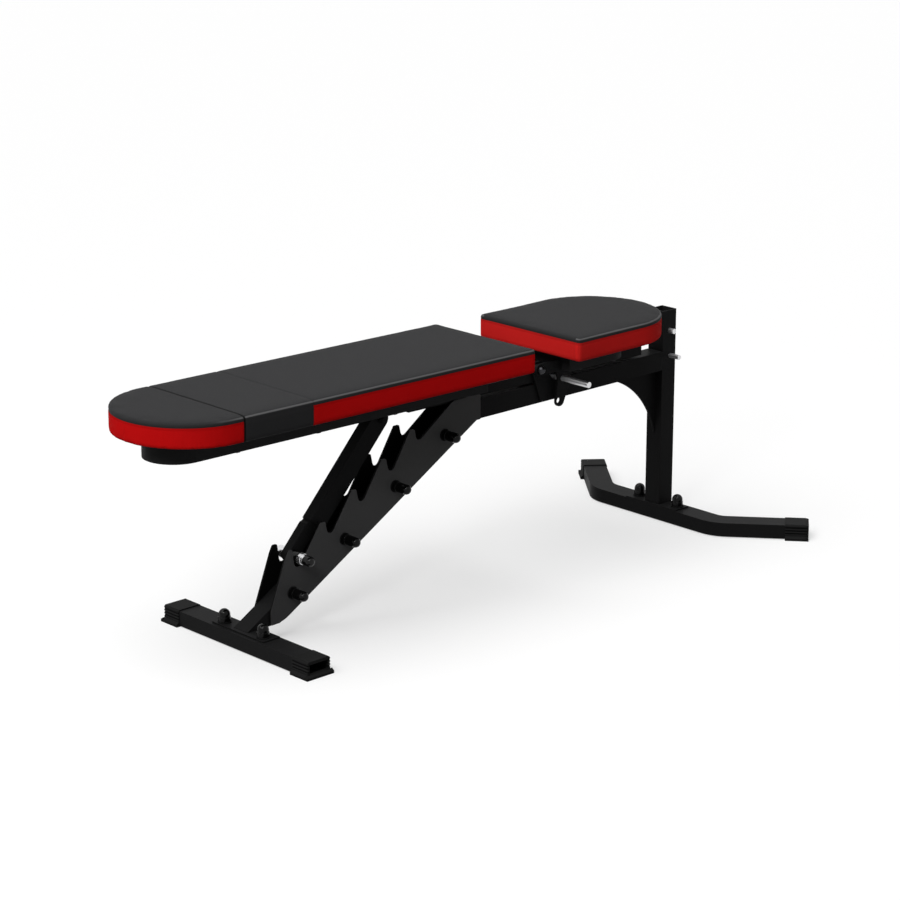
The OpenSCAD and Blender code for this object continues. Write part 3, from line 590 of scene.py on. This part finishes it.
def puff(piece, limit, flat_below):
    """Blows the piece up by cloth pressure, by at most the limit."""
    start = points(piece.data)
    cloth = with_modifier(piece, "CLOTH")
    cloth.settings.quality = 5
    cloth.settings.mass = 0.3
    cloth.settings.use_pressure = True
    cloth.settings.uniform_pressure_force = AIR_PRESSURE
    cloth.settings.effector_weights.gravity = 0
    for step in range(1, PUFF_FRAMES + 1):
        scene.frame_set(step)
    end = points(as_mesh(piece, piece.name))
    piece.modifiers.clear()
    scene.frame_set(1)
    move = end - start
    size = np.linalg.norm(move, axis=1, keepdims=True)
    move *= np.minimum(1, limit / np.maximum(size, 1e-9))
    move[start[:, 2] < flat_below, 2] = 0
    set_points(piece.data, start + move)
    print(piece.name, "moved up to", round(float(size.max()) * 1000, 1), "mm, kept to",
          round(float(np.linalg.norm(move, axis=1).max()) * 1000, 1))


def pull_to_size(piece, low, high):
    """Stretches the cover along and across until it fills its space again."""
    where = points(piece.data)
    now_low, now_high = where.min(0), where.max(0)
    for axis in (0, 1):
        grow = (high[axis] - low[axis]) / (now_high[axis] - now_low[axis])
        where[:, axis] = (where[:, axis] - now_low[axis]) * grow + low[axis]
    set_points(piece.data, where)
    print(piece.name, "pulled from", (now_high - now_low).round(4)[:2], "top", round(
        float(now_high[2]), 4))


print("air pressure", AIR_PRESSURE, "for", PUFF_FRAMES, "frames")

# %% [markdown]
# ## Seams
# The red band meets the black top in a seam that runs all the way round, and the plain
# head panel is sewn in with two seams that go over the top and down the sides. A seam
# pulls the cover in, so each point near one is pressed inwards along its normal, most on
# the line and less to both sides. The same distances are kept on the mesh, because the
# finish needs them to know where the red cloth is.

# %% Press seams and keep distances
END_DEPTH = 0.012
BAND_SEAM_DEPTH, BAND_SEAM_WIDTH = 0.0006, 0.0020
HEAD_SEAM_WIDTH = 0.0030
HEAD_SEAM_ABOVE = 0.004


def way_round(x, y, square_x, round_x, width):
    """How far along the pad's side each point is, from the middle of the square end."""
    way = 1 if round_x > square_x else -1
    middle = round_x - way * width / 2
    straight = abs(middle - square_x)
    turn = np.arctan2((x - middle) * way, np.abs(y))
    run = np.where((x - middle) * way < 0, width / 2 + (x - square_x) * way,
                   width / 2 + straight + turn * width / 2)
    at_end = (x - square_x) * way < END_DEPTH
    run = np.where(at_end & (np.abs(y) < width / 2 - END_DEPTH), np.abs(y), run)
    return np.where(y < 0, -run, run)


def sew(piece, square_x, round_x, low, band_top, across):
    """Presses the seams in and stores rise, along and around on the mesh."""
    piece.data.update()
    normals = np.empty(len(piece.data.vertices) * 3, np.float32)
    piece.data.vertices.foreach_get("normal", normals)
    normals = normals.reshape(-1, 3)
    where = points(piece.data)
    rise, along = where[:, 2] - low, where[:, 0]
    side = np.clip(1.4 - np.abs(normals[:, 2]) * 1.4, 0, 1)
    press = BAND_SEAM_DEPTH * np.exp(-((rise - band_top) / BAND_SEAM_WIDTH) ** 2) * side
    for seam_x, depth in across:
        line = np.exp(-((along - seam_x) / HEAD_SEAM_WIDTH) ** 2)
        press += depth * line * (rise > HEAD_SEAM_ABOVE)
    set_points(piece.data, where - normals * press[:, None])
    around = way_round(where[:, 0], where[:, 1], square_x, round_x, WIDTH)
    for name, values in (("rise", rise), ("along", along), ("around", around)):
        kept = piece.data.attributes.new(name, "FLOAT", "POINT")
        kept.data.foreach_set("value", values.astype(np.float32))
    print(piece.name, "seams pressed up to", round(float(press.max()) * 1000, 2), "mm")


print("band seam", BAND_SEAM_DEPTH, "m deep and", BAND_SEAM_WIDTH, "m wide")

# %% Make one pad
# The covers stand a little proud of the CAD blocks, on top and at both long sides.
PROUD = 0.003
WIDER = 0.0015
SKIN = 0.001
PUFF = 0.0014
VOXEL = 0.005
GLUED = 0.006
BAND_TOP = 0.0365 + PROUD
LEVELS = (seat_low.z, seat_high.z + PROUD)


def pad(name, node, body, square_x, round_x, across, turn=None):
    """One stuffed and sewn pad, made level and then turned to its lean."""
    low, high = LEVELS
    foam = foam_block(name, square_x, round_x, low, high, WIDTH, SKIN)
    piece = bpy.data.objects.new(name, foam)
    scene.collection.objects.link(piece)
    form = bpy.data.objects.new("form", foam.copy())
    scene.collection.objects.link(form)
    with_modifier(piece, "REMESH", mode="VOXEL", voxel_size=VOXEL)
    with_modifier(piece, "SHRINKWRAP", target=form)
    bake_down(piece)
    bpy.data.objects.remove(form)
    puff(piece, PUFF, low + GLUED)
    ends = sorted((square_x, round_x))
    pull_to_size(piece, (ends[0], -WIDTH / 2 - WIDER), (ends[1], WIDTH / 2 + WIDER))
    with_modifier(piece, "SMOOTH", factor=0.5, iterations=2)
    with_modifier(piece, "SUBSURF", levels=1, render_levels=1)
    bake_down(piece)
    sew(piece, square_x, round_x, low, BAND_TOP, across)
    if turn is not None:
        piece.data.transform(turn)
    piece.data.shade_smooth()
    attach(piece, body)
    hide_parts(node)
    corners = points(piece.data)
    print(name, len(piece.data.vertices), "points, box", corners.min(0).round(4),
          corners.max(0).round(4))
    return piece


# Each seam across the head: its place along the bench and its depth.
HEAD_SEAMS = [(-0.6147, 0.0011), (-0.4565, 0.0006)]
backrest = pad("backrest_cushion", "backrest_pad", "backrest", *BACK, HEAD_SEAMS, lean)
seat = pad("seat_cushion", "seat_pad", "seat", *SEAT, [])

# %% [markdown]
# ## Cover of the pads
# One finish dresses a whole pad. The stored distances choose the cloth at each point:
# red ribbed knit on the side, embossed black vinyl on the top, on the underside and on the
# head panel. A painted highlight makes a paler line along the top edge of the sides, but
# the square ends and the backrest's head stay dark. Thread and painted shade darken the
# seams, and painted shade darkens the red just under the band's top seam. The band itself
# is joined by one more seam: at the middle of the backrest's square end, and at the tip of
# the seat's round end.

# %% Pad cover
UNDERSIDE = 0.0016
# Seam colour: thread and painted shade. Tuck red: painted shade under the band's top seam. Vinyl
# edge: painted highlight.
SEAM_THREAD_AND_SHADE = (0.006, 0.006, 0.006)
SEAM_SHADE_RED = (0.10, 0.002, 0.002)
VINYL_DARK, VINYL_PALE = (0.027, 0.027, 0.028), (0.031, 0.031, 0.032)
VINYL_PAINTED_HIGHLIGHT = (0.14, 0.14, 0.142)


def pad_cover(name, panel, join, dark_red, pale_red):
    """A pad's whole cover. The panel is its two seams, and the join is where the band ends."""
    cover = Finish(name)

    def stored(attribute):
        return cover.node("ShaderNodeAttribute", {"attribute_name": attribute})["Fac"]

    rise, along, around = stored("rise"), stored("along"), stored("around")
    red_here = rise.above(UNDERSIDE, 0.0008) * (1 - rise.above(BAND_TOP, 0.0008))
    # Seams are darkened by thread and painted shade, and a painted highlight makes a paler line
    # along the top edge of the sides.
    seams = rise.line(BAND_TOP + 0.0004, 0.0009) * 0.2
    painted_edge_highlight = rise.line(THICK + PROUD - 0.0022, 0.0012)
    painted_edge_highlight = painted_edge_highlight * abs(around).above(WIDTH / 2, 0.004)
    if panel:
        plain = along.above(panel[0], 0.0010) * (1 - along.above(panel[1], 0.0010))
        red_here = red_here * (1 - plain)
        painted_edge_highlight = painted_edge_highlight * along.above(panel[0] - 0.03, 0.10)
        seams = seams * (1 - plain)
        for seam_x, shade in zip(panel, (1.0, 0.15)):
            seams = seams.maths("MAXIMUM", seams, along.line(seam_x, 0.0022) * shade)
    seams = seams.maths("MAXIMUM", seams, abs(around).line(join, 0.0012) * red_here * 0.8)
    grain = vinyl_grain(cover)
    cloud = cover.noise(11, 3)
    rib = around.sine(0.0022)
    stitch = (rise + rib * 0.0002).sine(0.0011)
    knit = rib * 0.65 + stitch * 0.35
    vinyl = cover.mix(cloud, VINYL_DARK, VINYL_PALE)
    vinyl = cover.mix(painted_edge_highlight * 0.8, vinyl, VINYL_PAINTED_HIGHLIGHT)
    red = cover.mix(knit * 0.55 + cloud * 0.45, dark_red, pale_red)
    # Painted shade: the red is darker just under the band's top seam.
    seam_shade = rise.line(BAND_TOP, 0.0045) * 0.3
    red = cover.mix(seam_shade, red, SEAM_SHADE_RED)
    colour = cover.mix(red_here, vinyl, red)
    colour = cover.mix(seams, colour, SEAM_THREAD_AND_SHADE)
    height = grain * (1 - red_here) * 0.45 + knit * red_here - seams * 0.8
    return cover.done(
        Base_Color=colour,
        Roughness=0.52 + red_here * 0.16 + cloud * 0.05 - grain * 0.05,
        Specular_IOR_Level=0.012,
        Normal=cover.bump(height, 0.0003))


def half_round(ends):
    """How far it is along a pad's side from the middle of the square end to the far end."""
    return abs(ends[1] - ends[0]) + math.pi * WIDTH / 4


BACKREST_REDS = (0.52, 0.0035, 0.004), (0.75, 0.009, 0.010)
SEAT_REDS = (0.56, 0.015, 0.014), (0.80, 0.023, 0.021)
backrest.data.materials.clear()
backrest.data.materials.append(pad_cover(
    "backrest cover", [x for x, _ in HEAD_SEAMS], 0.0, *BACKREST_REDS))
seat.data.materials.clear()
seat.data.materials.append(pad_cover("seat cover", None, half_round(SEAT), *SEAT_REDS))
print("covers", backrest.data.materials[0].name, "/", seat.data.materials[0].name)
